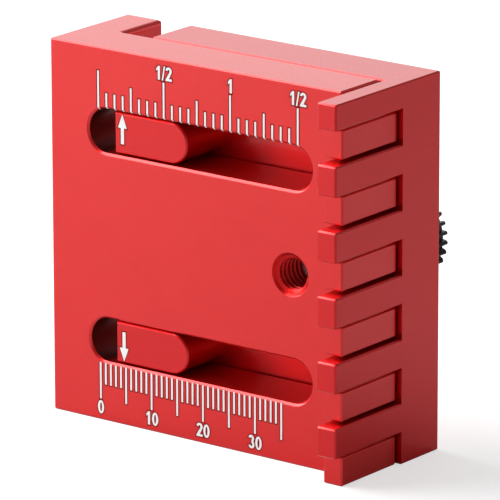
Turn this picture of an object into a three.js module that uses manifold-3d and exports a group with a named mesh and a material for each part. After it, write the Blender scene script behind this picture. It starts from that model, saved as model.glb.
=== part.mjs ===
// Comb-type slot width gauge with a screw lock: a fixed jaw, a sliding jaw, and a knurled lock screw.
// Sizes are in millimetres. While the pieces are made, x runs right from the scale's zero mark, y runs
// back from the fixed jaw's front face, and z runs up from the base. The last lines move the whole gauge
// so that the origin lies under the middle of its box.

import * as THREE from 'three';
import { mergeVertices } from 'three/addons/utils/BufferGeometryUtils.js';
import Module from 'manifold-3d';

const wasm = await Module();
wasm.setup();

// Both jaws
const bodyHeight = 59.5;
const combPitch = 10.09;
const combThickness = 3.5;
const fingerHeight = 4.65;
const combClearance = 0.37;
const jawOpening = 0.75;
const jawGap = 0.4;
const edgeChamfer = 0.25;

// Fixed jaw: a front plate with a side wall on the left and a comb of fingers on the right
const zeroInset = 9.45;
const plateReach = 46.15;
const plateThickness = 9.3;
const wallThickness = 6.85;
const wallDepth = 19.1;
const wallEdgeRadius = 0.85;
const fingerReach = 4.35;

// Guide slots in the front plate
const slotHeight = 7.0;
const slotSpacing = 33.3;
const slotStartInset = 7.45;
const slotEndInset = 5.5;
const slotChamfer = 0.35;

// Sliding jaw: a back plate with a comb wall, and two bosses that ride in the guide slots
const slidePlateThickness = 9.6;
const sideGap = 5.4;
const combReach = 7.0;
const bossLength = 14.05;
const bossClearance = 0.25;
const bossRecess = 0.4;

// Lock screw and the holes that it passes through
const screwInset = 9.45;
const threadDiameter = 6.0;
const threadClearance = 0.3;
const holeChamfer = 0.45;
const screwSlotClearance = 0.3;
const screwSlotEndMargin = 0.5;
const studRecess = 6.2;
const studEmbed = 6.0;
const studChamfer = 0.5;

// Washer and knob on the lock screw
const seatGap = 0.15;
const washerDiameter = 12.0;
const washerThickness = 1.6;
const washerClearance = 0.2;
const washerChamfer = 0.2;
const collarDiameter = 10.5;
const collarLength = 2.5;
const headDiameter = 15.6;
const headLength = 6.2;
const headChamfer = 0.4;
const ridgeCount = 30;
const ridgeDepth = 1.1;
const ridgeWidthShare = 0.9;
const mouldGap = 0.2;

// Smoothness of round stretches, and the length by which a cut runs past a face
const roundSteps = 48;
const edgeSteps = 6;
const ridgeSteps = 6;
const overrun = 1.0;

// Where a cut along an edge runs past the edge's ends
const bothEnds = [overrun, overrun];
const firstEnd = [overrun, 0];
const lastEnd = [0, overrun];
const noEnd = [0, 0];

// Places that follow from the sizes above
const leftFace = -zeroInset;
const wallInner = leftFace + wallThickness;
const fingerOuter = plateReach + combThickness;
const combInner = plateReach + jawOpening;
const combOuter = combInner + combThickness;
const slideLeft = wallInner + sideGap;
const slideFront = plateThickness + jawGap;
const slideBack = slideFront + slidePlateThickness;
const midHeight = bodyHeight / 2;
const slotLevels = [midHeight + slotSpacing / 2, midHeight - slotSpacing / 2];
const slotStart = leftFace + slotStartInset;
const slotEnd = plateReach - slotEndInset;
const bossEnd = slideLeft + bossLength;
const bossHeight = slotHeight - 2 * bossClearance;
const fingerCount = Math.floor((bodyHeight - fingerHeight) / combPitch) + 1;
const screwX = plateReach - screwInset;
const closingTravel = jawOpening;
const openingTravel = slotEnd - bossEnd;
const studRadius = threadDiameter / 2 - threadClearance;
const screwSlotRadius = threadDiameter / 2 + screwSlotClearance;
const washerFront = slideBack + seatGap;
const collarFront = washerFront + washerThickness + seatGap;
const headFront = collarFront + collarLength;
const headBack = headFront + headLength;
const studBack = collarFront + studEmbed;

// The solid inside a closed surface, with its faces turned outwards
function solid(geometry) {
  const bare = geometry.clone();
  bare.deleteAttribute('normal');
  bare.deleteAttribute('uv');
  const welded = mergeVertices(bare, 1e-5);
  const vertProperties = new Float32Array(welded.attributes.position.array);
  const triVerts = new Uint32Array(welded.index.array);
  const a = new THREE.Vector3();
  const b = new THREE.Vector3();
  const c = new THREE.Vector3();
  let volume = 0;
  for (let i = 0; i < triVerts.length; i += 3) {
    a.fromArray(vertProperties, 3 * triVerts[i]);
    b.fromArray(vertProperties, 3 * triVerts[i + 1]);
    c.fromArray(vertProperties, 3 * triVerts[i + 2]);
    volume += a.dot(b.cross(c));
  }
  if (volume < 0) triVerts.reverse();
  return new wasm.Manifold(new wasm.Mesh({ numProp: 3, vertProperties, triVerts }));
}

function geometryOf(body) {
  const mesh = body.getMesh();
  const geometry = new THREE.BufferGeometry();
  geometry.setAttribute('position', new THREE.BufferAttribute(new Float32Array(mesh.vertProperties), 3));
  geometry.setIndex(new THREE.BufferAttribute(new Uint32Array(mesh.triVerts), 1));
  geometry.computeVertexNormals();
  return geometry;
}

function outline(points) {
  return new THREE.Shape(points.map(([x, y]) => new THREE.Vector2(x, y)));
}

// An outline in x and y, raised from one height to another
function upright(shape, bottom, top) {
  const geometry = new THREE.ExtrudeGeometry(shape, { depth: top - bottom, bevelEnabled: false });
  geometry.translate(0, 0, bottom);
  return solid(geometry);
}

// An outline in x and z, carried from one depth to another
function through(shape, front, back) {
  const settings = { depth: back - front, bevelEnabled: false, curveSegments: roundSteps / 2 };
  const geometry = new THREE.ExtrudeGeometry(shape, settings);
  geometry.rotateX(Math.PI / 2);
  geometry.translate(0, back, 0);
  return solid(geometry);
}

// The same with both rims chamfered
function chamferedThrough(shape, front, back, size) {
  const geometry = new THREE.ExtrudeGeometry(shape, {
    depth: back - front - 2 * size,
    bevelSize: size,
    bevelThickness: size,
    bevelOffset: -size,
    bevelSegments: 1,
    curveSegments: roundSteps / 2,
  });
  geometry.rotateX(Math.PI / 2);
  geometry.translate(0, back - size, 0);
  return solid(geometry);
}

// A short cut in front of a face, or behind it, that widens a slot's mouth. The slot's outline is kept one
// chamfer inside the face.
function flare(shape, back, size) {
  const geometry = new THREE.ExtrudeGeometry(shape, {
    depth: overrun,
    bevelSize: size,
    bevelThickness: size,
    bevelSegments: 1,
    curveSegments: roundSteps / 2,
  });
  geometry.rotateX(Math.PI / 2);
  geometry.translate(0, back, 0);
  return solid(geometry);
}

// A profile of radius against depth, turned about a line that runs back at the given place
function turned(profile, x, z) {
  const points = profile.map(([radius, depth]) => new THREE.Vector2(radius, depth));
  const geometry = new THREE.LatheGeometry(points, roundSteps);
  geometry.translate(x, 0, z);
  return solid(geometry);
}

// An upright block between two corners
function block(left, front, bottom, right, back, top) {
  return upright(outline([[left, front], [right, front], [right, back], [left, back]]), bottom, top);
}

// The axes that follow each axis
const nextAxes = { x: ['y', 'z'], y: ['z', 'x'], z: ['x', 'y'] };

// What is taken off one sharp edge of a block that is given by its two corners. The edge runs along one
// axis, on the low side (-1) or the high side (1) of the next two, and the cut runs past its two ends.
function wedge(low, high, axis, sides, past) {
  const [second, third] = nextAxes[axis];
  const start = low.clone();
  start[axis] -= past[0];
  start[second] = sides[0] < 0 ? low[second] : high[second];
  start[third] = sides[1] < 0 ? low[third] : high[third];
  const across = new THREE.Vector3();
  across[second] = -sides[0];
  const down = new THREE.Vector3();
  down[third] = -sides[1];
  const along = new THREE.Vector3();
  along[axis] = 1;
  const wide = edgeChamfer + overrun;
  const section = outline([[wide, -overrun], [-overrun, wide], [-overrun, -overrun]]);
  const depth = high[axis] + past[1] - low[axis] + past[0];
  const geometry = new THREE.ExtrudeGeometry(section, { depth, bevelEnabled: false });
  geometry.applyMatrix4(new THREE.Matrix4().makeBasis(across, down, along).setPosition(start));
  return solid(geometry);
}

// Takes several edges off a body: each is an axis, its two sides and how far the cut runs past its ends
function breakEdges(body, low, high, edges) {
  const cut = (rest, [axis, sides, past]) => rest.subtract(wedge(low, high, axis, sides, past));
  return edges.reduce(cut, body);
}

// Takes the edges off one prong of a comb: along its length and round its front face
function breakProng(body, low, high, innerBack, outerPast) {
  const innerHigh = new THREE.Vector3(high.x, innerBack, high.z);
  let rest = body;
  for (const side of [-1, 1]) {
    rest = breakEdges(rest, low, high, [
      ['y', [side, 1], outerPast],
      ['x', [-1, side], bothEnds],
      ['z', [side, -1], bothEnds],
    ]);
    rest = breakEdges(rest, low, innerHigh, [['y', [side, -1], firstEnd]]);
  }
  return rest;
}

// A flat slot outline with full round ends
function slotOutline(left, right, level, radius) {
  const shape = new THREE.Shape();
  shape.moveTo(left + radius, level - radius);
  shape.lineTo(right - radius, level - radius);
  shape.absarc(right - radius, level, radius, -Math.PI / 2, Math.PI / 2, false);
  shape.lineTo(left + radius, level + radius);
  shape.absarc(left + radius, level, radius, Math.PI / 2, 3 * Math.PI / 2, false);
  return shape;
}

// A guide slot with its chamfered front edge
function guideSlot(level) {
  const shape = slotOutline(slotStart, slotEnd, level, slotHeight / 2);
  return through(shape, -overrun, plateThickness + overrun).add(flare(shape, 0, slotChamfer));
}

// The threaded hole, drawn at the thread's outer diameter, with its chamfered mouth
function threadedHole() {
  const radius = threadDiameter / 2;
  const widening = holeChamfer + overrun;
  return turned([
    [0, -overrun],
    [radius + widening, -overrun],
    [radius, holeChamfer],
    [radius, plateThickness + overrun],
    [0, plateThickness + overrun],
  ], screwX, midHeight);
}

// What is taken off the side wall's inner edge at the top and the base
function wallEdgeCut(edge, inwards) {
  const shape = new THREE.Shape();
  const centreX = wallInner - wallEdgeRadius;
  const centreZ = edge + inwards * wallEdgeRadius;
  const outside = edge - inwards * overrun;
  shape.moveTo(centreX, outside);
  shape.lineTo(centreX, edge);
  for (let i = 1; i <= edgeSteps; i += 1) {
    const angle = Math.PI / 2 * (1 - i / edgeSteps);
    const rise = wallEdgeRadius * Math.sin(angle);
    shape.lineTo(centreX + wallEdgeRadius * Math.cos(angle), centreZ - inwards * rise);
  }
  shape.lineTo(wallInner + overrun, centreZ);
  shape.lineTo(wallInner + overrun, outside);
  return through(shape, plateThickness, wallDepth + overrun);
}

// The front plate's and the side wall's edges
function breakPlateEdges(body) {
  const corner = new THREE.Vector3(leftFace, 0, 0);
  const insideCorner = new THREE.Vector3(wallInner, 0, 0);
  const plateEnd = new THREE.Vector3(plateReach, plateThickness, bodyHeight);
  const wallEnd = new THREE.Vector3(wallInner, wallDepth, bodyHeight);
  let rest = breakEdges(body, corner, plateEnd, [
    ['x', [-1, 1], bothEnds],
    ['x', [-1, -1], firstEnd],
    ['y', [1, 1], bothEnds],
    ['z', [-1, -1], bothEnds],
  ]);
  rest = breakEdges(rest, corner, wallEnd, [
    ['x', [1, 1], bothEnds],
    ['x', [1, -1], bothEnds],
    ['y', [1, -1], bothEnds],
    ['y', [-1, -1], bothEnds],
    ['z', [-1, 1], bothEnds],
    ['z', [1, 1], bothEnds],
  ]);
  return breakEdges(rest, insideCorner, plateEnd, [
    ['x', [1, 1], lastEnd],
    ['x', [1, -1], noEnd],
  ]);
}

// One finger's edges, and the edges of the plate's end above it
function breakFingerEdges(body, i) {
  const bottom = i * combPitch;
  const top = bottom + fingerHeight;
  const low = new THREE.Vector3(plateReach, -fingerReach, bottom);
  const high = new THREE.Vector3(fingerOuter, plateThickness, top);
  const last = i + 1 === fingerCount;
  const endLow = new THREE.Vector3(leftFace, 0, top);
  const endHigh = new THREE.Vector3(plateReach, plateThickness, last ? bodyHeight : bottom + combPitch);
  let rest = breakProng(body, low, high, 0, bothEnds);
  rest = breakEdges(rest, low, high, [
    ['x', [1, 1], lastEnd],
    ['x', [1, -1], lastEnd],
    ['z', [1, 1], bothEnds],
  ]);
  return breakEdges(rest, endLow, endHigh, [
    ['z', [1, -1], last ? lastEnd : noEnd],
    ['z', [1, 1], last ? lastEnd : noEnd],
  ]);
}

function fixedJaw() {
  let body = upright(outline([
    [leftFace, 0],
    [plateReach, 0],
    [plateReach, -fingerReach],
    [fingerOuter, -fingerReach],
    [fingerOuter, plateThickness],
    [wallInner, plateThickness],
    [wallInner, wallDepth],
    [leftFace, wallDepth],
  ]), 0, bodyHeight);
  for (let i = 0; i < fingerCount; i += 1) {
    const bottom = i * combPitch + fingerHeight;
    const top = i + 1 < fingerCount ? bottom + combPitch - fingerHeight : bodyHeight + overrun;
    const front = -fingerReach - overrun;
    const back = plateThickness + overrun;
    body = body.subtract(block(plateReach, front, bottom, fingerOuter + overrun, back, top));
  }
  body = breakPlateEdges(body);
  for (let i = 0; i < fingerCount; i += 1) body = breakFingerEdges(body, i);
  for (const level of slotLevels) body = body.subtract(guideSlot(level));
  body = body.subtract(threadedHole());
  body = body.subtract(wallEdgeCut(bodyHeight, -1));
  body = body.subtract(wallEdgeCut(0, 1));
  return geometryOf(body);
}

// A boss that rides in a guide slot: flat on the left, flush with the jaw's end, and round on the right
function boss(level) {
  const radius = bossHeight / 2;
  const shape = new THREE.Shape();
  shape.moveTo(slideLeft, level - radius);
  shape.lineTo(bossEnd - radius, level - radius);
  shape.absarc(bossEnd - radius, level, radius, -Math.PI / 2, Math.PI / 2, false);
  shape.lineTo(slideLeft, level + radius);
  return chamferedThrough(shape, bossRecess, slideFront + overrun, edgeChamfer);
}

// The long slot that lets the lock screw pass at every place of the jaw
function screwSlot() {
  const left = screwX - openingTravel - screwSlotRadius - screwSlotEndMargin;
  const right = screwX + closingTravel + screwSlotRadius + screwSlotEndMargin;
  const shape = slotOutline(left, right, midHeight, screwSlotRadius);
  const run = through(shape, slideFront - overrun, slideBack + overrun);
  return run.add(flare(shape, slideBack + overrun, edgeChamfer));
}

// The back plate's edges. Its front top edge ends at the comb wall.
function breakSlidePlateEdges(body) {
  const low = new THREE.Vector3(slideLeft, slideFront, 0);
  const high = new THREE.Vector3(combOuter, slideBack, bodyHeight);
  const innerHigh = new THREE.Vector3(combInner, slideBack, bodyHeight);
  const rest = breakEdges(body, low, high, [
    ['x', [1, 1], bothEnds],
    ['x', [1, -1], bothEnds],
    ['x', [-1, -1], bothEnds],
    ['y', [1, -1], bothEnds],
    ['y', [-1, -1], bothEnds],
    ['y', [-1, 1], bothEnds],
    ['y', [1, 1], lastEnd],
    ['z', [-1, -1], bothEnds],
    ['z', [-1, 1], bothEnds],
    ['z', [1, 1], bothEnds],
  ]);
  return breakEdges(rest, low, innerHigh, [['x', [-1, 1], firstEnd]]);
}

// The edges of the tooth above one finger
function breakToothEdges(body, i) {
  const bottom = i * combPitch + fingerHeight + combClearance;
  const top = i + 1 < fingerCount ? (i + 1) * combPitch - combClearance : bodyHeight;
  const low = new THREE.Vector3(combInner, -combReach, bottom);
  const high = new THREE.Vector3(combOuter, slideFront, top);
  return breakProng(body, low, high, slideFront, firstEnd);
}

function slidingJaw() {
  let body = upright(outline([
    [slideLeft, slideFront],
    [combInner, slideFront],
    [combInner, -combReach],
    [combOuter, -combReach],
    [combOuter, slideBack],
    [slideLeft, slideBack],
  ]), 0, bodyHeight);
  for (let i = 0; i < fingerCount; i += 1) {
    const bottom = i * combPitch - combClearance;
    const top = i * combPitch + fingerHeight + combClearance;
    const right = combOuter + overrun;
    body = body.subtract(block(combInner - overrun, -combReach - overrun, bottom, right, slideFront, top));
  }
  body = breakSlidePlateEdges(body);
  for (let i = 0; i < fingerCount; i += 1) body = breakToothEdges(body, i);
  for (const level of slotLevels) body = body.add(boss(level));
  body = body.subtract(screwSlot());
  return geometryOf(body);
}

function lockStud() {
  return geometryOf(turned([
    [0, studRecess],
    [studRadius - studChamfer, studRecess],
    [studRadius, studRecess + studChamfer],
    [studRadius, studBack - studChamfer],
    [studRadius - studChamfer, studBack],
    [0, studBack],
  ], screwX, midHeight));
}

function lockWasher() {
  const inner = threadDiameter / 2 + washerClearance;
  const outer = washerDiameter / 2;
  const back = washerFront + washerThickness;
  return geometryOf(turned([
    [inner, washerFront],
    [outer, washerFront],
    [outer, back - washerChamfer],
    [outer - washerChamfer, back],
    [inner, back],
    [inner, washerFront],
  ], screwX, midHeight));
}

// The head's ridged outline: narrow round ridges between wider round valleys
function ridgedOutline() {
  const steps = ridgeCount * ridgeSteps;
  const points = [];
  for (let i = 0; i < steps; i += 1) {
    const turn = 2 * Math.PI * i / steps;
    const rise = Math.pow((1 + Math.cos(ridgeCount * turn)) / 2, ridgeWidthShare);
    const radius = headDiameter / 2 - ridgeDepth * (1 - rise);
    points.push([screwX + radius * Math.cos(turn), midHeight + radius * Math.sin(turn)]);
  }
  return outline(points);
}

function lockKnob() {
  const radius = headDiameter / 2;
  const ridges = through(ridgedOutline(), headFront, headBack);
  const envelope = turned([
    [0, headFront],
    [radius - headChamfer, headFront],
    [radius, headFront + headChamfer],
    [radius, headBack - headChamfer],
    [radius - headChamfer, headBack],
    [0, headBack],
  ], screwX, midHeight);
  const collar = turned([
    [0, collarFront],
    [collarDiameter / 2, collarFront],
    [collarDiameter / 2, headFront + overrun],
    [0, headFront + overrun],
  ], screwX, midHeight);
  const bore = turned([
    [0, collarFront - overrun],
    [studRadius + mouldGap, collarFront - overrun],
    [studRadius + mouldGap, studBack + mouldGap],
    [0, studBack + mouldGap],
  ], screwX, midHeight);
  return geometryOf(ridges.intersect(envelope).add(collar).subtract(bore));
}

const anodised = new THREE.MeshStandardMaterial({ color: 0xd8282c, roughness: 0.38, metalness: 0.6 });
const steel = new THREE.MeshStandardMaterial({ color: 0xc9cbce, roughness: 0.25, metalness: 1 });
const blackPlastic = new THREE.MeshStandardMaterial({ color: 0x141414, roughness: 0.35, metalness: 0 });

function piece(name, geometry, material) {
  const mesh = new THREE.Mesh(geometry, material);
  mesh.name = name;
  return mesh;
}

const gauge = new THREE.Group();
gauge.add(piece('fixed_jaw', fixedJaw(), anodised));
gauge.add(piece('sliding_jaw', slidingJaw(), anodised.clone()));
gauge.add(piece('lock_stud', lockStud(), steel));
gauge.add(piece('lock_washer', lockWasher(), steel.clone()));
gauge.add(piece('lock_knob', lockKnob(), blackPlastic));
gauge.position.set(-(leftFace + combOuter) / 2, -(headBack - combReach) / 2, 0);

export default gauge;
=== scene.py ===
from math import cos, hypot, pi, radians, sin, sqrt

import bmesh
import bpy
from mathutils import Matrix, Vector


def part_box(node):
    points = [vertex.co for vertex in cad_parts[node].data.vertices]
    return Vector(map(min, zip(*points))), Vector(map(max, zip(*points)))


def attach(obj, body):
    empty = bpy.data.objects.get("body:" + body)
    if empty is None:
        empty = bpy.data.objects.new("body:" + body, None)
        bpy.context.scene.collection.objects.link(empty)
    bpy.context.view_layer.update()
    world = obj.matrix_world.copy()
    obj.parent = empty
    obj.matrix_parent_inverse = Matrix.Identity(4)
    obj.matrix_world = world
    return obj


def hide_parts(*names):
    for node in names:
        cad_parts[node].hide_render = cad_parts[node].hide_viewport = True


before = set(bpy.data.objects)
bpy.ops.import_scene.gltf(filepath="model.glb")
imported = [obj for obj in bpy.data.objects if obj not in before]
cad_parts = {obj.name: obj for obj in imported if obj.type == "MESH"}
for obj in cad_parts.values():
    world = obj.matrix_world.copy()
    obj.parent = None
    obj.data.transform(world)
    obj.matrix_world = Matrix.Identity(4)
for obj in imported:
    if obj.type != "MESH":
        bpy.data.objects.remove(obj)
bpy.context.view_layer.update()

MM = 0.001
INCH = 25.4 * MM

# The gauge's own axes: x from the scale's zero mark, y back from the front face, z up from the base
ZERO_INSET = 9.45 * MM
FINGER_REACH = 4.35 * MM
JAW_LOW, JAW_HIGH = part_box("fixed_jaw")
STUD_LOW, STUD_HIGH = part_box("lock_stud")
KNOB_LOW, KNOB_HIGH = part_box("lock_knob")
ORIGIN = Vector((JAW_LOW.x + ZERO_INSET, JAW_LOW.y + FINGER_REACH, JAW_LOW.z))
BODY_HEIGHT = JAW_HIGH.z - JAW_LOW.z
MID_HEIGHT = BODY_HEIGHT / 2
SCREW_X = (STUD_LOW.x + STUD_HIGH.x) / 2 - ORIGIN.x
KNOB_RADIUS = (KNOB_HIGH.x - KNOB_LOW.x) / 2

# Guide slots
SLOT_HEIGHT = 7.0 * MM
SLOT_SPACING = 33.3 * MM
SLOT_START = -2.0 * MM
SLOT_END = 40.65 * MM
SLOT_CHAMFER = 0.35 * MM
UPPER_SLOT = MID_HEIGHT + SLOT_SPACING / 2
LOWER_SLOT = MID_HEIGHT - SLOT_SPACING / 2

# Smoothing of the jaws' chamfered edges
WELD = 0.002 * MM
FLAT_ANGLE = radians(1)
RIM_ANGLE = radians(30)
RIM_RADIUS = 0.04 * MM
SMOOTH_ANGLE = radians(35)

# Anodised red: pale and deep tone of each part, and the finish that they share
FRONT_REDS = ((0.83, 0.024, 0.024), (0.80, 0.021, 0.022))
SLIDE_REDS = ((0.76, 0.006, 0.009), (0.735, 0.005, 0.008))
# The threaded hole's darker red is painted shade inside the hole
HOLE_SHADE_REDS = ((0.66, 0.010, 0.010), (0.60, 0.008, 0.008))
RED_ROUGHNESS = (0.42, 0.52)
CLOUD_SCALE = 140
GRAIN_SCALE = 5200
GRAIN_STRENGTH = 0.25
GRAIN_RELIEF = 0.02 * MM
COAT_ROUGHNESS = 0.15
COAT_IOR = 1.45
# Thinner coat in the threaded hole, which dims its reflections along with its painted shade
HOLE_SHADE_COAT = 0.25
NOISE_LOW = 0.3
NOISE_HIGH = 0.7

# Painted shade: the closed left ends of the guide slots are darker and have a thinner coat
POCKET_SHADE_RED = (0.16, 0.01, 0.008)
POCKET_SHADE_COAT = 0.3
POCKET_REACH = 0.05 * MM
POCKET_FULL_SHADE_END = 0.3 * MM
POCKET_RED_START = 2.0 * MM

# Steel and black plastic
STEEL_GREYS = ((0.62, 0.62, 0.64), (0.78, 0.78, 0.79))
STEEL_SCALE = 7000
STEEL_STRENGTH = 0.15
STEEL_RELIEF = 0.01 * MM
STEEL_ROUGHNESS_RANGE = 0.12
STUD_ROUGHNESS = 0.16
WASHER_ROUGHNESS = 0.24
PLASTIC_BLACKS = ((0.004, 0.004, 0.004), (0.007, 0.007, 0.007))
PLASTIC_GRAIN = 3200
PLASTIC_GRAIN_STRENGTH = 0.2
PLASTIC_GRAIN_RELIEF = 0.02 * MM
PLASTIC_ROUGHNESS = (0.22, 0.34)
PLASTIC_SPECULAR = 0.2

# White marks on the scales, and dark rims round them: painted shade along the edges of an engraved groove
MARK_WHITES = ((0.93, 0.91, 0.91), (1.0, 0.99, 0.99))
MARK_ROUGHNESS = 0.75
MARK_SHADE_REDS = ((0.26, 0.003, 0.003), (0.22, 0.003, 0.003))
MARK_SHADE_ROUGHNESS = 0.7
MARK_SHADE_SPECULAR = 0.1
SPECKLE_SCALE = 9000
SPECKLE_STRENGTH = 0.2
SPECKLE_RELIEF = 0.01 * MM
MARK_WIDTH = 0.34 * MM
MARK_RAISE = 0.015 * MM
MARK_SINK = 0.08 * MM
MARK_SHADE_WIDTH = 0.19 * MM
MARK_SHADE_RAISE = 0.008 * MM
MITRE_LIMIT = 0.5
INCH_DIVISIONS = 16
INCH_MARKS = 25
INCH_LONG_TOP = 55.75 * MM
INCH_QUARTER_TOP = 53.9 * MM
INCH_SHORT_TOP = 52.4 * MM
METRIC_MARKS = 36
METRIC_NUMERALS = 4
METRIC_GROUP = 5
METRIC_TOP = 9.33 * MM
METRIC_LONG_BOTTOM = 3.47 * MM
METRIC_SHORT_BOTTOM = 5.87 * MM

# Numerals and arrows
INCH_NUMERAL_BOTTOM = 56.1 * MM
METRIC_NUMERAL_BOTTOM = 1.02 * MM
NUMERAL_HEIGHT = 2.15 * MM
NUMERAL_ADVANCE = 1.34 * MM
SLASH_ADVANCE = 0.67 * MM
NUMERAL_STROKE = 0.42 * MM
TOP_STROKE_SHARE = 0.86
ARC_STEPS = 12
ARROW_X = 4.35 * MM
ARROW_TIP_INSET = 0.25 * MM
ARROW_LENGTH = 4.7 * MM
ARROW_HEAD_LENGTH = 2.15 * MM
ARROW_HEAD_WIDTH = 1.72 * MM
ARROW_STEM_WIDTH = 0.62 * MM
BOSS_FACE = 0.4 * MM
BOSS_HEIGHT = 6.5 * MM

# Screw thread
PITCH = 1.0 * MM
HOLE_RADIUS = 3.0 * MM
HOLE_CREST = 2.46 * MM
HOLE_MOUTH = 3.45 * MM
MOUTH_SLOPE = 0.4
HOLE_THREAD_START = 0.25 * MM
THREAD_PHASE_SHARE = 0.25
HOLE_SINK = 0.04 * MM
PLATE_BACK = 9.25 * MM
ROOT_HALF_SHARE = 0.46
CREST_HALF_SHARE = 0.12
STUD_CREST_HALF_SHARE = 0.06
STUD_CORE = 2.4 * MM
STUD_CREST = 2.93 * MM
STUD_RIM_RADIUS = 2.45 * MM
STUD_RIM_WIDTH = 0.1 * MM
STUD_END_CHAMFER = 0.3 * MM
STUD_CUP_RADIUS = 1.3 * MM
STUD_CUP_DEPTH = 0.6 * MM
STUD_GROOVE = 0.1 * MM
THREAD_STEPS = 48
STUD_THREAD_TURNS = 6.5
FADE_TURNS = 0.4
FADE_LEAST = 0.02

# Knob
RIDGES = 30
RIDGE_STEPS = 16
RIDGE_DEPTH = 1.1 * MM
RIDGE_SPREAD = 0.2
RIDGE_TURN = radians(2.5)
KNOB_EDGE = 0.4 * MM
KNOB_EDGE_STEPS = 4
COLLAR_RADIUS = 5.25 * MM
COLLAR_LENGTH = 2.5 * MM
COLLAR_CHAMFER = 0.3 * MM
KNOB_BORE = 2.9 * MM
DISH_RADIUS = 4.6 * MM
DISH_DEPTH = 0.35 * MM
DISH_BEND_SHARE = 0.8

# Light and floor
FLOOR_HALF = 3.0
FLOOR_COLOUR = (0.6, 0.6, 0.6)
FLOOR_ROUGHNESS = 0.9
FLOOR_GLOW = 0.6
WORLD_DIM = 0.6
WORLD_FULL = 1.1
BRIGHT_SIDE = (-0.3, 0.95, 0.1)
DARK_SIDE = (0.25, 0.0, 0.97)
DARK_START = 0.35
DARK_END = 0.55
DARK_SHARE = 0.2
LAMP_DISTANCE = 0.5
LAMP_SIZE = 0.55
LAMP_AZIMUTH = radians(-73)
LAMP_ELEVATION = radians(37)
LAMP_POWER = 4.9

# Camera, from a fit to the scale marks and the silhouette
TARGET = Vector((20.0, 5.0, 28.0)) * MM
AZIMUTH = radians(37.551)
ELEVATION = radians(15.922)
ROLL = radians(-0.110)
SIDE_OFFSET = -4.175 * MM
RISE_OFFSET = -1.548 * MM
DISTANCE = 895.8 * MM
FOCAL_PIXELS = 5886.5
IMAGE_PIXELS = 500
SENSOR = 36.0
CLIP_START = 0.05
CLIP_END = 20


def place(x, y, z):
    """A point of the gauge's own axes in the frame."""
    return ORIGIN + Vector((x, y, z))


def direction(azimuth, elevation):
    """The way to a place round the gauge, from the front towards the right and up."""
    return Vector((sin(azimuth) * cos(elevation), -cos(azimuth) * cos(elevation), sin(elevation)))


def make_camera():
    """The photograph's view: the axes come from the azimuth, the elevation and the roll."""
    back = direction(AZIMUTH, ELEVATION)
    level = Vector((cos(AZIMUTH), sin(AZIMUTH), 0))
    rise = back.cross(level)
    right = level * cos(ROLL) + rise * sin(ROLL)
    up = rise * cos(ROLL) - level * sin(ROLL)
    eye = place(*TARGET) - right * SIDE_OFFSET - up * RISE_OFFSET + back * DISTANCE
    data = bpy.data.cameras.new("camera")
    data.sensor_width = SENSOR
    data.lens = FOCAL_PIXELS / IMAGE_PIXELS * SENSOR
    data.clip_start = CLIP_START
    data.clip_end = CLIP_END
    camera = bpy.data.objects.new("camera", data)
    axes = Matrix((right, up, back)).transposed().to_4x4()
    camera.matrix_world = Matrix.Translation(eye) @ axes
    bpy.context.scene.collection.objects.link(camera)
    bpy.context.scene.camera = camera
    bpy.context.scene.view_settings.view_transform = "Standard"


def new_material(name):
    """A new material, its node tree and its Principled shader."""
    material = bpy.data.materials.new(name)
    material.use_nodes = True
    tree = material.node_tree
    shader = tree.nodes["Principled BSDF"]
    return material, tree, shader


def noise(tree, scale, detail, roughness=0.6):
    """Noise in the object's own coordinates."""
    where = tree.nodes.new("ShaderNodeTexCoord")
    node = tree.nodes.new("ShaderNodeTexNoise")
    node.inputs["Scale"].default_value = scale
    node.inputs["Detail"].default_value = detail
    node.inputs["Roughness"].default_value = roughness
    tree.links.new(where.outputs["Object"], node.inputs["Vector"])
    return node.outputs["Fac"]


def spread(tree, value, low, high):
    """Noise stretched to a range between two numbers."""
    node = tree.nodes.new("ShaderNodeMapRange")
    node.inputs["From Min"].default_value = NOISE_LOW
    node.inputs["From Max"].default_value = NOISE_HIGH
    node.inputs["To Min"].default_value = low
    node.inputs["To Max"].default_value = high
    tree.links.new(value, node.inputs["Value"])
    return node.outputs["Result"]


def ramp(tree, value, start, end, low, high):
    """A smooth change between two levels as a value goes from one place to another."""
    node = tree.nodes.new("ShaderNodeMapRange")
    node.interpolation_type = "SMOOTHSTEP"
    node.inputs["From Min"].default_value = start
    node.inputs["From Max"].default_value = end
    node.inputs["To Min"].default_value = low
    node.inputs["To Max"].default_value = high
    tree.links.new(value, node.inputs["Value"])
    return node.outputs["Result"]


def mix_colours(tree, factor, first, second):
    """A colour between two colours."""
    node = tree.nodes.new("ShaderNodeMix")
    node.data_type = "RGBA"
    node.inputs["A"].default_value = (*first, 1)
    node.inputs["B"].default_value = (*second, 1)
    tree.links.new(factor, node.inputs["Factor"])
    return node.outputs["Result"]


def bump(tree, shader, height, strength, distance):
    """Surface relief from a height."""
    node = tree.nodes.new("ShaderNodeBump")
    node.inputs["Strength"].default_value = strength
    node.inputs["Distance"].default_value = distance
    tree.links.new(height, node.inputs["Height"])
    tree.links.new(node.outputs["Normal"], shader.inputs["Normal"])


def anodised(name, pale, deep, coat=1):
    """Satin anodised aluminium over a fine blasted grain."""
    material, tree, shader = new_material(name)
    clouds = noise(tree, CLOUD_SCALE, 3)
    grain = noise(tree, GRAIN_SCALE, 2, 0.5)
    tree.links.new(mix_colours(tree, spread(tree, clouds, 0, 1), pale, deep), shader.inputs["Base Color"])
    tree.links.new(spread(tree, grain, *RED_ROUGHNESS), shader.inputs["Roughness"])
    shader.inputs["Metallic"].default_value = 1
    shader.inputs["Coat Weight"].default_value = coat
    shader.inputs["Coat Roughness"].default_value = COAT_ROUGHNESS
    shader.inputs["Coat IOR"].default_value = COAT_IOR
    bump(tree, shader, grain, GRAIN_STRENGTH, GRAIN_RELIEF)
    return material


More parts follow.
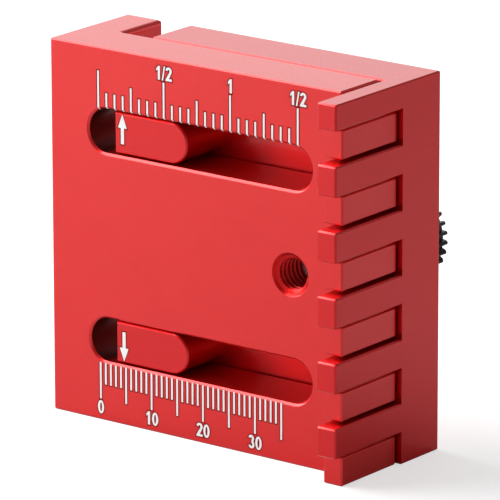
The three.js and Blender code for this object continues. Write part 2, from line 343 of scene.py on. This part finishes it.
def painted_shade_end(material):
    """The same finish with painted shade, darker towards the closed left ends of the guide slots."""
    tree = material.node_tree
    shader = tree.nodes["Principled BSDF"]
    red = shader.inputs["Base Color"].links[0].from_socket
    where = tree.nodes.new("ShaderNodeTexCoord")
    axes = tree.nodes.new("ShaderNodeSeparateXYZ")
    tree.links.new(where.outputs["Object"], axes.inputs["Vector"])
    share = ramp(tree, axes.outputs["X"], ORIGIN.x + POCKET_FULL_SHADE_END, ORIGIN.x + POCKET_RED_START, 0, 1)
    node = tree.nodes.new("ShaderNodeMix")
    node.data_type = "RGBA"
    node.inputs["A"].default_value = (*POCKET_SHADE_RED, 1)
    tree.links.new(share, node.inputs["Factor"])
    tree.links.new(red, node.inputs["B"])
    tree.links.new(node.outputs["Result"], shader.inputs["Base Color"])
    return material


def laser_white():
    """The white of a laser mark: matt and slightly uneven."""
    material, tree, shader = new_material("laser_white")
    speckle = noise(tree, SPECKLE_SCALE, 2)
    tone = mix_colours(tree, spread(tree, speckle, 0, 1), *MARK_WHITES)
    tree.links.new(tone, shader.inputs["Base Color"])
    shader.inputs["Roughness"].default_value = MARK_ROUGHNESS
    bump(tree, shader, speckle, SPECKLE_STRENGTH, SPECKLE_RELIEF)
    return material


def laser_rim():
    """Dark red round a mark, painted shade along its edges: matt and unpolished."""
    material, tree, shader = new_material("laser_rim")
    speckle = noise(tree, SPECKLE_SCALE, 2)
    tree.links.new(mix_colours(tree, spread(tree, speckle, 0, 1), *MARK_SHADE_REDS), shader.inputs["Base Color"])
    shader.inputs["Roughness"].default_value = MARK_SHADE_ROUGHNESS
    shader.inputs["Specular IOR Level"].default_value = MARK_SHADE_SPECULAR
    bump(tree, shader, speckle, SPECKLE_STRENGTH, SPECKLE_RELIEF)
    return material


def steel(name, roughness):
    """Turned steel with a fine uneven surface."""
    material, tree, shader = new_material(name)
    grain = noise(tree, STEEL_SCALE, 2)
    tone = mix_colours(tree, spread(tree, grain, 0, 1), *STEEL_GREYS)
    tree.links.new(tone, shader.inputs["Base Color"])
    rough = spread(tree, grain, roughness, roughness + STEEL_ROUGHNESS_RANGE)
    tree.links.new(rough, shader.inputs["Roughness"])
    shader.inputs["Metallic"].default_value = 1
    bump(tree, shader, grain, STEEL_STRENGTH, STEEL_RELIEF)
    return material


def black_plastic():
    """Moulded black plastic with a slight grain."""
    material, tree, shader = new_material("black_plastic")
    grain = noise(tree, PLASTIC_GRAIN, 3)
    tone = mix_colours(tree, spread(tree, grain, 0, 1), *PLASTIC_BLACKS)
    tree.links.new(tone, shader.inputs["Base Color"])
    tree.links.new(spread(tree, grain, *PLASTIC_ROUGHNESS), shader.inputs["Roughness"])
    shader.inputs["Specular IOR Level"].default_value = PLASTIC_SPECULAR
    bump(tree, shader, grain, PLASTIC_GRAIN_STRENGTH, PLASTIC_GRAIN_RELIEF)
    return material


def finish_mesh(name, bm, material, body, smooth=True):
    """A bmesh turned into a piece that rides on a body."""
    bmesh.ops.recalc_face_normals(bm, faces=bm.faces)
    mesh = bpy.data.meshes.new(name)
    bm.to_mesh(mesh)
    bm.free()
    mesh.materials.append(material)
    if smooth:
        mesh.shade_smooth()
        mesh.set_sharp_from_angle(angle=SMOOTH_ANGLE)
    piece = bpy.data.objects.new(name, mesh)
    bpy.context.scene.collection.objects.link(piece)
    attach(piece, body)
    return piece


def prism(bm, outline, along):
    """A closed prism: an outline of points, carried along a vector."""
    near = [bm.verts.new(point) for point in outline]
    far = [bm.verts.new(point + along) for point in outline]
    bm.faces.new(near)
    bm.faces.new(reversed(far))
    for i in range(len(outline)):
        j = (i + 1) % len(outline)
        bm.faces.new((near[j], near[i], far[i], far[j]))


def loft(bm, rings):
    """A closed skin through rings of points, with a flat face at either end."""
    rows = [[bm.verts.new(point) for point in ring] for ring in rings]
    for lower, upper in zip(rows, rows[1:]):
        for i in range(len(lower)):
            j = (i + 1) % len(lower)
            bm.faces.new((lower[i], lower[j], upper[j], upper[i]))
    bm.faces.new(reversed(rows[0]))
    bm.faces.new(rows[-1])


def edge_turn(edge):
    """How far the surface turns at a convex edge, or zero at a hollow one."""
    if not edge.is_manifold or not edge.is_convex:
        return 0
    return edge.calc_face_angle()


def in_pocket(point):
    """Whether a place lies on the round left end of a guide slot."""
    for level in (UPPER_SLOT, LOWER_SLOT):
        centre = place(SLOT_START + SLOT_HEIGHT / 2, 0, level)
        reach = hypot(point.x - centre.x, point.z - centre.z)
        if point.x < centre.x and abs(reach - SLOT_HEIGHT / 2) < POCKET_REACH:
            return point.y > ORIGIN.y + SLOT_CHAMFER
    return False


def in_hole(point):
    """Whether a place lies on the threaded hole's mouth or wall."""
    centre = place(SCREW_X, 0, MID_HEIGHT)
    inside = hypot(point.x - centre.x, point.z - centre.z) < HOLE_MOUTH
    return inside and ORIGIN.y + RIM_RADIUS < point.y < ORIGIN.y + PLATE_BACK - RIM_RADIUS


def rounded_jaw(name, node, body, material):
    """A jaw's own solid with the rims of its chamfers slightly rounded."""
    bm = bmesh.new()
    bm.from_mesh(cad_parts[node].data)
    bmesh.ops.remove_doubles(bm, verts=bm.verts, dist=WELD)
    bmesh.ops.dissolve_limit(bm, angle_limit=FLAT_ANGLE, verts=bm.verts, edges=bm.edges)
    edges = [edge for edge in bm.edges if edge_turn(edge) > RIM_ANGLE]
    bmesh.ops.bevel(
        bm,
        geom=edges,
        offset=RIM_RADIUS,
        offset_type="OFFSET",
        segments=2,
        profile=0.5,
        affect="EDGES",
        clamp_overlap=True,
    )
    piece = finish_mesh(name, bm, material, body)
    weighted = piece.modifiers.new("flat_shading", "WEIGHTED_NORMAL")
    weighted.keep_sharp = True
    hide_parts(node)
    return piece


def slot_top(x, radius):
    """Height of the upper slot's top edge at one place along it."""
    half = SLOT_HEIGHT / 2
    past = max(SLOT_START + half - x, x - (SLOT_END - half), 0)
    return UPPER_SLOT + sqrt(max(radius * radius - past * past, 0))


def inch_marks(name, material, grow, raised):
    """Marks that run down to the upper slot and over its chamfer."""
    bm = bmesh.new()
    for k in range(INCH_MARKS):
        top = INCH_SHORT_TOP
        if k % (INCH_DIVISIONS // 4) == 0:
            top = INCH_QUARTER_TOP
        if k % (INCH_DIVISIONS // 2) == 0:
            top = INCH_LONG_TOP
        top += grow
        x = k * INCH / INCH_DIVISIONS
        rim = slot_top(x, SLOT_HEIGHT / 2 + SLOT_CHAMFER)
        inner = slot_top(x, SLOT_HEIGHT / 2)
        profile = [
            (-raised, top),
            (-raised, rim),
            (SLOT_CHAMFER - raised, inner),
            (SLOT_CHAMFER + MARK_SINK, inner),
            (MARK_SINK, rim + MARK_SINK),
            (MARK_SINK, top),
        ]
        half = MARK_WIDTH / 2 + grow
        prism(bm, [place(x - half, y, z) for y, z in profile], Vector((2 * half, 0, 0)))
    finish_mesh(name, bm, material, "fixed", smooth=False)


def metric_marks(name, material, grow, raised):
    """Marks below the lower slot, one for each millimetre."""
    bm = bmesh.new()
    half = MARK_WIDTH / 2 + grow
    for k in range(METRIC_MARKS):
        bottom = METRIC_LONG_BOTTOM if k % METRIC_GROUP == 0 else METRIC_SHORT_BOTTOM
        profile = [
            (-raised, bottom - grow),
            (-raised, METRIC_TOP),
            (MARK_SINK, METRIC_TOP),
            (MARK_SINK, bottom - grow),
        ]
        prism(bm, [place(k * MM - half, y, z) for y, z in profile], Vector((2 * half, 0, 0)))
    finish_mesh(name, bm, material, "fixed", smooth=False)


def grown(loop, reach):
    """A flat outline moved outwards by a distance, or inwards by a negative one."""
    count = len(loop)
    area = sum(loop[i - 1][0] * loop[i][1] - loop[i][0] * loop[i - 1][1] for i in range(count))
    side = reach if area > 0 else -reach
    points = []
    for i in range(count):
        here = Vector(loop[i])
        before = (here - Vector(loop[i - 1])).normalized()
        after = (Vector(loop[(i + 1) % count]) - here).normalized()
        outwards = Vector((before.y + after.y, -before.x - after.x))
        corner = max(outwards.length_squared / 2, MITRE_LIMIT)
        points.append(tuple(here + outwards * (side / corner)))
    return points


def arc(centre, radii, start, end):
    """Points of an elliptic arc between two angles in degrees."""
    points = []
    for i in range(ARC_STEPS + 1):
        angle = radians(start + (end - start) * i / ARC_STEPS)
        points.append((centre[0] + radii[0] * cos(angle), centre[1] + radii[1] * sin(angle)))
    return points


def shrink(radii):
    """An outer curve's radii brought in by the width of a stroke, a little less at the top."""
    return radii[0] - NUMERAL_STROKE, radii[1] - TOP_STROKE_SHARE * NUMERAL_STROKE


def glyph_zero(left):
    """The outer and the inner ring of a zero."""
    centre = (left + 0.5 * NUMERAL_ADVANCE, NUMERAL_HEIGHT / 2)
    outer = (0.46 * NUMERAL_ADVANCE, 0.51 * NUMERAL_HEIGHT)
    return [arc(centre, outer, 0, 360)[:-1], arc(centre, shrink(outer), 0, 360)[:-1]]


def glyph_one(left):
    """A one with a short flag."""
    right = left + 0.76 * NUMERAL_ADVANCE
    bar = right - NUMERAL_STROKE
    flag = left + 0.22 * NUMERAL_ADVANCE
    shares = [(bar, 0), (right, 0), (right, 1), (bar + 0.2 * NUMERAL_STROKE, 1)]
    shares += [((bar + flag) / 2, 0.87), (flag, 0.78), (flag, 0.61), ((bar + flag) / 2, 0.66), (bar, 0.73)]
    return [[(x, share * NUMERAL_HEIGHT) for x, share in shares]]


def glyph_two(left):
    """A two: a bowl, a slanting stem and a flat foot."""
    start = left + 0.05 * NUMERAL_ADVANCE
    end = left + 0.95 * NUMERAL_ADVANCE
    centre = ((start + end) / 2, 0.73 * NUMERAL_HEIGHT)
    outer = ((end - start) / 2, 0.28 * NUMERAL_HEIGHT)
    foot = 0.9 * NUMERAL_STROKE
    points = arc(centre, outer, 172, -38)
    points += [(start + 1.6 * NUMERAL_STROKE, foot), (end, foot), (end, 0), (start, 0), (start, foot / 2)]
    points += arc(centre, shrink(outer), -42, 172)
    return [points]


def glyph_three(left):
    """A three: two bowls that meet in a short bar."""
    start = left + 0.05 * NUMERAL_ADVANCE
    middle = left + 0.47 * NUMERAL_ADVANCE
    upper = (0.4 * NUMERAL_ADVANCE, 0.265 * NUMERAL_HEIGHT)
    lower = (0.44 * NUMERAL_ADVANCE, 0.3 * NUMERAL_HEIGHT)
    high = (middle, 1.01 * NUMERAL_HEIGHT - upper[1])
    low = (start + lower[0], lower[1])
    points = arc(high, upper, 168, -42) + arc(low, lower, 48, -165)
    points += arc(low, shrink(lower), -165, 80)
    points += arc(high, shrink(upper), -80, 168)
    return [points]


def glyph_slash(left):
    """A slanting stroke."""
    width = 0.62 * NUMERAL_STROKE
    right = left + SLASH_ADVANCE
    low = -0.02 * NUMERAL_HEIGHT
    high = 1.02 * NUMERAL_HEIGHT
    return [[(left, low), (left + width, low), (right, high), (right - width, high)]]


GLYPHS = {
    "0": (glyph_zero, NUMERAL_ADVANCE),
    "1": (glyph_one, NUMERAL_ADVANCE),
    "2": (glyph_two, NUMERAL_ADVANCE),
    "3": (glyph_three, NUMERAL_ADVANCE),
    "/": (glyph_slash, SLASH_ADVANCE),
}


def ring_prism(bm, outer, inner, along):
    """A closed ring: two loops of as many points, carried along a vector."""
    rows = []
    for loop, shift in ((outer, 0), (outer, 1), (inner, 1), (inner, 0)):
        rows.append([bm.verts.new(point + shift * along) for point in loop])
    for row, following in zip(rows, rows[1:] + rows[:1]):
        for i in range(len(row)):
            j = (i + 1) % len(row)
            bm.faces.new((row[i], row[j], following[j], following[i]))


def numeral(name, text, centre, bottom, material, grow, raised):
    """A number of the scale, centred on its mark."""
    left = -sum(GLYPHS[letter][1] for letter in text) / 2
    along = Vector((0, raised + MARK_SINK, 0))
    bm = bmesh.new()
    for letter in text:
        draw, advance = GLYPHS[letter]
        flat = draw(left)
        loops = [grown(flat[0], grow)] + [grown(loop, -grow) for loop in flat[1:]]
        rings = [[place(centre + x, -raised, bottom + z) for x, z in loop] for loop in loops]
        if len(rings) == 2:
            ring_prism(bm, rings[0], rings[1], along)
        else:
            prism(bm, rings[0], along)
        left += advance
    finish_mesh(name, bm, material, "fixed", smooth=False)


def numerals(ending, material, grow, raised):
    """The numbers above the inch scale and below the metric one."""
    for halves, name in enumerate(("inch_half", "inch_one", "inch_one_half"), start=1):
        text = "1" if halves == 2 else "1/2"
        numeral(name + ending, text, halves * INCH / 2, INCH_NUMERAL_BOTTOM, material, grow, raised)
    for tens in range(METRIC_NUMERALS):
        text = str(10 * tens)
        name = "metric_" + text + ending
        numeral(name, text, 10 * tens * MM, METRIC_NUMERAL_BOTTOM, material, grow, raised)


def arrow(name, tip, way, material, grow, raised):
    """A pointer on a boss, with its tip at one height and its stem the other way."""
    half_head = ARROW_HEAD_WIDTH / 2
    half_stem = ARROW_STEM_WIDTH / 2
    neck = tip - way * ARROW_HEAD_LENGTH
    end = tip - way * ARROW_LENGTH
    outline = [
        (0, tip),
        (half_head, neck),
        (half_stem, neck),
        (half_stem, end),
        (-half_stem, end),
        (-half_stem, neck),
        (-half_head, neck),
    ]
    bm = bmesh.new()
    points = [place(ARROW_X + x, BOSS_FACE - raised, z) for x, z in grown(outline, grow)]
    prism(bm, points, Vector((0, raised + MARK_SINK, 0)))
    finish_mesh(name, bm, material, "slide", smooth=False)


def arrows(ending, material, grow, raised):
    """The two pointers, up to the inch scale and down to the metric one."""
    reach = BOSS_HEIGHT / 2 - ARROW_TIP_INSET
    arrow("arrow_up" + ending, UPPER_SLOT + reach, 1, material, grow, raised)
    arrow("arrow_down" + ending, LOWER_SLOT - reach, -1, material, grow, raised)


def markings(ending, material, grow, raised):
    """Both scales, their numbers and the two pointers."""
    inch_marks("inch_marks" + ending, material, grow, raised)
    metric_marks("metric_marks" + ending, material, grow, raised)
    numerals(ending, material, grow, raised)
    arrows(ending, material, grow, raised)


def helix_rings(start, end, section):
    """Rings of a thread's ridge round the screw's axis. The section gives radius and depth for each turn."""
    turns = (end - start) / PITCH
    steps = round(turns * THREAD_STEPS)
    rings = []
    for i in range(steps + 1):
        turn = turns * i / steps
        angle = 2 * pi * (turn + THREAD_PHASE_SHARE)
        ring = []
        for radius, y in section(start + PITCH * turn, min(turn, turns - turn)):
            ring.append(place(SCREW_X + radius * sin(angle), y, MID_HEIGHT + radius * cos(angle)))
        rings.append(ring)
    return rings


def faded(wall, crest, turns_left):
    """The crest's radius, brought back to the wall near the ridge's ends."""
    return wall + (crest - wall) * min(1, max(turns_left / FADE_TURNS, FADE_LEAST))


def hole_section(y, turns_left):
    """The hole's ridge in section, cut off in front by a steep cone behind the hole's mouth."""
    wall = HOLE_RADIUS + HOLE_SINK
    mouth = HOLE_MOUTH - wall
    crest = HOLE_CREST if y < PLATE_BACK / 2 else faded(wall, HOLE_CREST, turns_left)
    root_half = ROOT_HALF_SHARE * PITCH
    crest_half = CREST_HALF_SHARE * PITCH
    slope = (wall - crest) / (root_half - crest_half)
    cone = MOUTH_SLOPE * (wall - crest + slope * (y + crest_half))
    meeting = (mouth + cone) / (1 + MOUTH_SLOPE * slope)
    back = (crest, y + crest_half)
    if meeting > y + crest_half:
        back = (crest + slope * (meeting - y - crest_half), meeting)
    front = (back[0], max(y - crest_half, mouth + MOUTH_SLOPE * (wall - back[0])))
    least = HOLE_SINK / 2
    if front[1] > back[1] - least:
        front = (front[0] + least, back[1] - least)
    return [(wall, max(y - root_half, mouth)), front, back, (wall, y + root_half)]


def hole_thread(material):
    """The thread that is cut in the fixed jaw's hole."""
    bm = bmesh.new()
    loft(bm, helix_rings(HOLE_THREAD_START, PLATE_BACK - PITCH / 2, hole_section))
    finish_mesh("hole_thread", bm, material, "fixed")


def stud_section(y, turns_left):
    """The stud's ridge in section."""
    wall = STUD_CORE - HOLE_SINK
    crest = faded(wall, STUD_CREST, turns_left)
    root_half = ROOT_HALF_SHARE * PITCH
    crest_half = STUD_CREST_HALF_SHARE * PITCH
    return [(wall, y - root_half), (crest, y - crest_half), (crest, y + crest_half), (wall, y + root_half)]


def turned_rings(profile, steps, radius_at=None):
    """Rings of a turned shape about the screw's axis, from its front to its back."""
    rings = []
    for y, radius in profile:
        ring = []
        for i in range(steps):
            angle = 2 * pi * i / steps
            reach = min(radius, radius_at(angle)) if radius_at else radius
            ring.append(place(SCREW_X + reach * sin(angle), y, MID_HEIGHT + reach * cos(angle)))
        rings.append(ring)
    return rings


def threaded_stud(material):
    """The lock screw's threaded rod, with a chamfered and cupped end."""
    front = STUD_LOW.y - ORIGIN.y
    back = STUD_HIGH.y - ORIGIN.y
    bm = bmesh.new()
    profile = [
        (front + STUD_CUP_DEPTH, STUD_CUP_RADIUS),
        (front, STUD_RIM_RADIUS - STUD_RIM_WIDTH),
        (front, STUD_RIM_RADIUS),
        (front + STUD_END_CHAMFER, STUD_RIM_RADIUS + STUD_END_CHAMFER),
        (front + STUD_END_CHAMFER + STUD_GROOVE, STUD_CORE),
        (back, STUD_CORE),
    ]
    loft(bm, turned_rings(profile, THREAD_STEPS))
    start = HOLE_THREAD_START + STUD_THREAD_TURNS * PITCH
    loft(bm, helix_rings(start, back - PITCH, stud_section))
    piece = finish_mesh("threaded_stud", bm, material, "lock")
    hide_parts("lock_stud")


def ridge_radius(angle):
    """The ridged head's radius in one direction."""
    swell = (cos(RIDGES * (angle + RIDGE_TURN)) + RIDGE_SPREAD) / (1 + RIDGE_SPREAD)
    return KNOB_RADIUS - RIDGE_DEPTH * (1 - sqrt(max(swell, 0)))


def knob(material):
    """The knob: a plain collar, a ridged head with rounded rims, and a shallow dish in its back."""
    front = KNOB_LOW.y - ORIGIN.y
    back = KNOB_HIGH.y - ORIGIN.y
    head = front + COLLAR_LENGTH
    turns = [pi / 2 * i / KNOB_EDGE_STEPS for i in range(KNOB_EDGE_STEPS + 1)]
    edge = [(sin(turn), 1 - cos(turn)) for turn in turns]
    profile = [
        (front, KNOB_BORE),
        (front, COLLAR_RADIUS - COLLAR_CHAMFER),
        (front + COLLAR_CHAMFER, COLLAR_RADIUS),
        (head - COLLAR_CHAMFER, COLLAR_RADIUS),
        (head, COLLAR_RADIUS + COLLAR_CHAMFER),
    ]
    rounding = [(KNOB_EDGE * rise, KNOB_RADIUS - KNOB_EDGE * (1 - run)) for run, rise in edge]
    profile += [(head + depth, radius) for depth, radius in rounding]
    profile += [(back - depth, radius) for depth, radius in reversed(rounding)]
    profile += [
        (back, DISH_RADIUS),
        (back - DISH_DEPTH * DISH_BEND_SHARE, DISH_RADIUS - DISH_DEPTH),
        (back - DISH_DEPTH, DISH_RADIUS - 2 * DISH_DEPTH),
        (back - DISH_DEPTH, DISH_RADIUS / 2),
    ]
    bm = bmesh.new()
    loft(bm, turned_rings(profile, RIDGES * RIDGE_STEPS, ridge_radius))
    piece = finish_mesh("ridged_knob", bm, material, "lock")
    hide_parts("lock_knob")


def light_path(tree):
    """What kind of ray is asking."""
    return tree.nodes.new("ShaderNodeLightPath").outputs


def floor_material():
    """A pale floor that the camera sees as white, with the gauge's soft shadow on it."""
    material, tree, shader = new_material("floor")
    shader.inputs["Base Color"].default_value = (*FLOOR_COLOUR, 1)
    shader.inputs["Roughness"].default_value = FLOOR_ROUGHNESS
    shader.inputs["Specular IOR Level"].default_value = 0
    glow = tree.nodes.new("ShaderNodeMath")
    glow.operation = "MULTIPLY"
    glow.inputs[1].default_value = FLOOR_GLOW
    tree.links.new(light_path(tree)["Is Camera Ray"], glow.inputs[0])
    shader.inputs["Emission Color"].default_value = (1, 1, 1, 1)
    tree.links.new(glow.outputs["Value"], shader.inputs["Emission Strength"])
    return material


def make_floor():
    """The plain floor that the gauge stands on."""
    bm = bmesh.new()
    bmesh.ops.create_grid(bm, x_segments=1, y_segments=1, size=FLOOR_HALF)
    mesh = bpy.data.meshes.new("floor")
    bm.to_mesh(mesh)
    bm.free()
    mesh.materials.append(floor_material())
    floor = bpy.data.objects.new("floor", mesh)
    bpy.context.scene.collection.objects.link(floor)


def combine(tree, operation, first, second):
    """Two values put together by one operation."""
    node = tree.nodes.new("ShaderNodeMath")
    node.operation = operation
    tree.links.new(first, node.inputs[0])
    tree.links.new(second, node.inputs[1])
    return node.outputs["Value"]


def towards(tree, side):
    """How far a place in the sky lies towards one side, from -1 to 1."""
    where = tree.nodes.new("ShaderNodeTexCoord")
    node = tree.nodes.new("ShaderNodeVectorMath")
    node.operation = "DOT_PRODUCT"
    node.inputs[1].default_value = Vector(side).normalized()
    tree.links.new(where.outputs["Generated"], node.inputs[0])
    return node.outputs["Value"]


def make_world():
    """Soft light all round, fuller behind and dark overhead, and a white backdrop for the camera."""
    world = bpy.data.worlds.new("world")
    bpy.context.scene.world = world
    world.use_nodes = True
    tree = world.node_tree
    background = tree.nodes["Background"]
    background.inputs["Color"].default_value = (1, 1, 1, 1)
    level = ramp(tree, towards(tree, BRIGHT_SIDE), -1, 1, WORLD_DIM, WORLD_FULL)
    dark = ramp(tree, towards(tree, DARK_SIDE), DARK_START, DARK_END, 1, DARK_SHARE)
    soft = combine(tree, "MULTIPLY", level, dark)
    strength = combine(tree, "MAXIMUM", soft, light_path(tree)["Is Camera Ray"])
    tree.links.new(strength, background.inputs["Strength"])


def make_lamp():
    """One large square soft light, high on the left."""
    data = bpy.data.lights.new("lamp", "AREA")
    data.shape = "SQUARE"
    data.size = LAMP_SIZE
    data.energy = LAMP_POWER
    lamp = bpy.data.objects.new("lamp", data)
    way = direction(LAMP_AZIMUTH, LAMP_ELEVATION)
    lamp.matrix_world = way.to_track_quat("Z", "Y").to_matrix().to_4x4()
    lamp.location = way * LAMP_DISTANCE + Vector((0, 0, MID_HEIGHT))
    bpy.context.scene.collection.objects.link(lamp)


def fixed_jaw(shaded_hole_red):
    """The front jaw, with painted shade at its slot ends and in its threaded hole."""
    pocket_shade_red = painted_shade_end(anodised("anodised_red_pocket_shade", *FRONT_REDS, coat=POCKET_SHADE_COAT))
    front_red = anodised("anodised_red_front", *FRONT_REDS)
    piece = rounded_jaw("fixed_jaw_rounded", "fixed_jaw", "fixed", front_red)
    piece.data.materials.append(pocket_shade_red)
    piece.data.materials.append(shaded_hole_red)
    # Painted shade: faces at the slot ends take the darker pocket red, and the hole's mouth and wall take
    # the darker hole red
    for face in piece.data.polygons:
        if in_pocket(face.center):
            face.material_index = 1
        elif in_hole(face.center):
            face.material_index = 2


def sliding_jaw():
    """The rear jaw, in its deeper red."""
    rounded_jaw("sliding_jaw_rounded", "sliding_jaw", "slide", anodised("anodised_red_slide", *SLIDE_REDS))


def washer():
    """The CAD washer, in its own steel."""
    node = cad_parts["lock_washer"]
    node.data.materials.clear()
    node.data.materials.append(steel("washer_steel", WASHER_ROUGHNESS))


make_camera()
make_world()
make_lamp()
make_floor()
# Darker red with a thin coat: painted shade for the hole's wall, mouth and thread
hole_shade_red = anodised("anodised_red_hole_shade", *HOLE_SHADE_REDS, coat=HOLE_SHADE_COAT)
fixed_jaw(hole_shade_red)
sliding_jaw()
markings("", laser_white(), 0, MARK_RAISE)
# The same marks, grown and set beneath in dark red: painted shade along the marks' edges
markings("_rim", laser_rim(), MARK_SHADE_WIDTH, MARK_SHADE_RAISE)
hole_thread(hole_shade_red)
threaded_stud(steel("stud_steel", STUD_ROUGHNESS))
knob(black_plastic())
washer()
